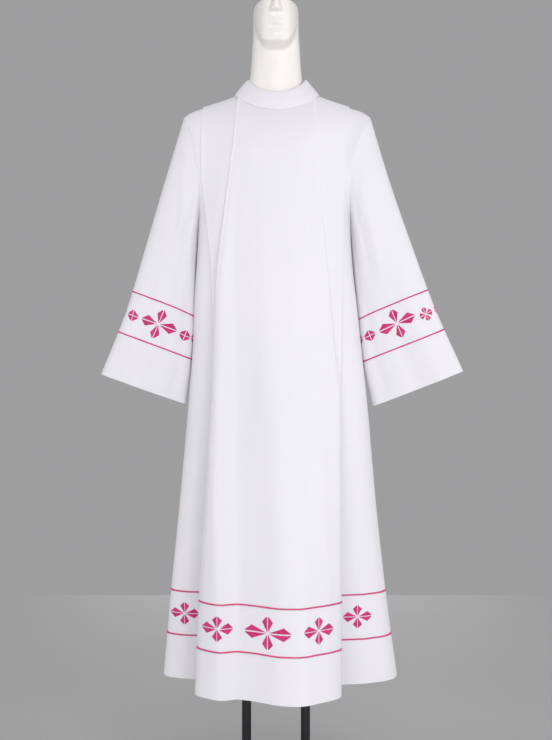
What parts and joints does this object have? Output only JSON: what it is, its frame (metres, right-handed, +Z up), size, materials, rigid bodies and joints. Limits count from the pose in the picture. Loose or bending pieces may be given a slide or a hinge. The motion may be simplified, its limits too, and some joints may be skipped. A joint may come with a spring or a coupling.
{
  "type": "alb robe on dress form stand",
  "caption": "White floor-length alb robe with wide sleeves, fold-over collar, knife pleats and embroidered hem and cuffs, worn by a limbless dress form on a stand.",
  "frame": {"origin": "on the floor, centre of the base plate's underside", "axes": "+Z up, -Y towards the robe's front, +X towards the right as seen from the front"},
  "size_m": [0.8496, 0.5877, 1.81],
  "materials": {
    "white_cloth": "matt, fine plain weave",
    "cream_shell": "satin",
    "black_rod": "satin",
    "black_plate": "satin"
  },
  "bodies": {
    "root": {"robe_front": "white_cloth", "robe_back": "white_cloth", "sleeve_left": "white_cloth", "sleeve_right": "white_cloth", "collar": "white_cloth", "form_body": "cream_shell", "rod_left": "black_rod", "rod_right": "black_rod", "base_plate": "black_plate"}
  },
  "joints": []
}
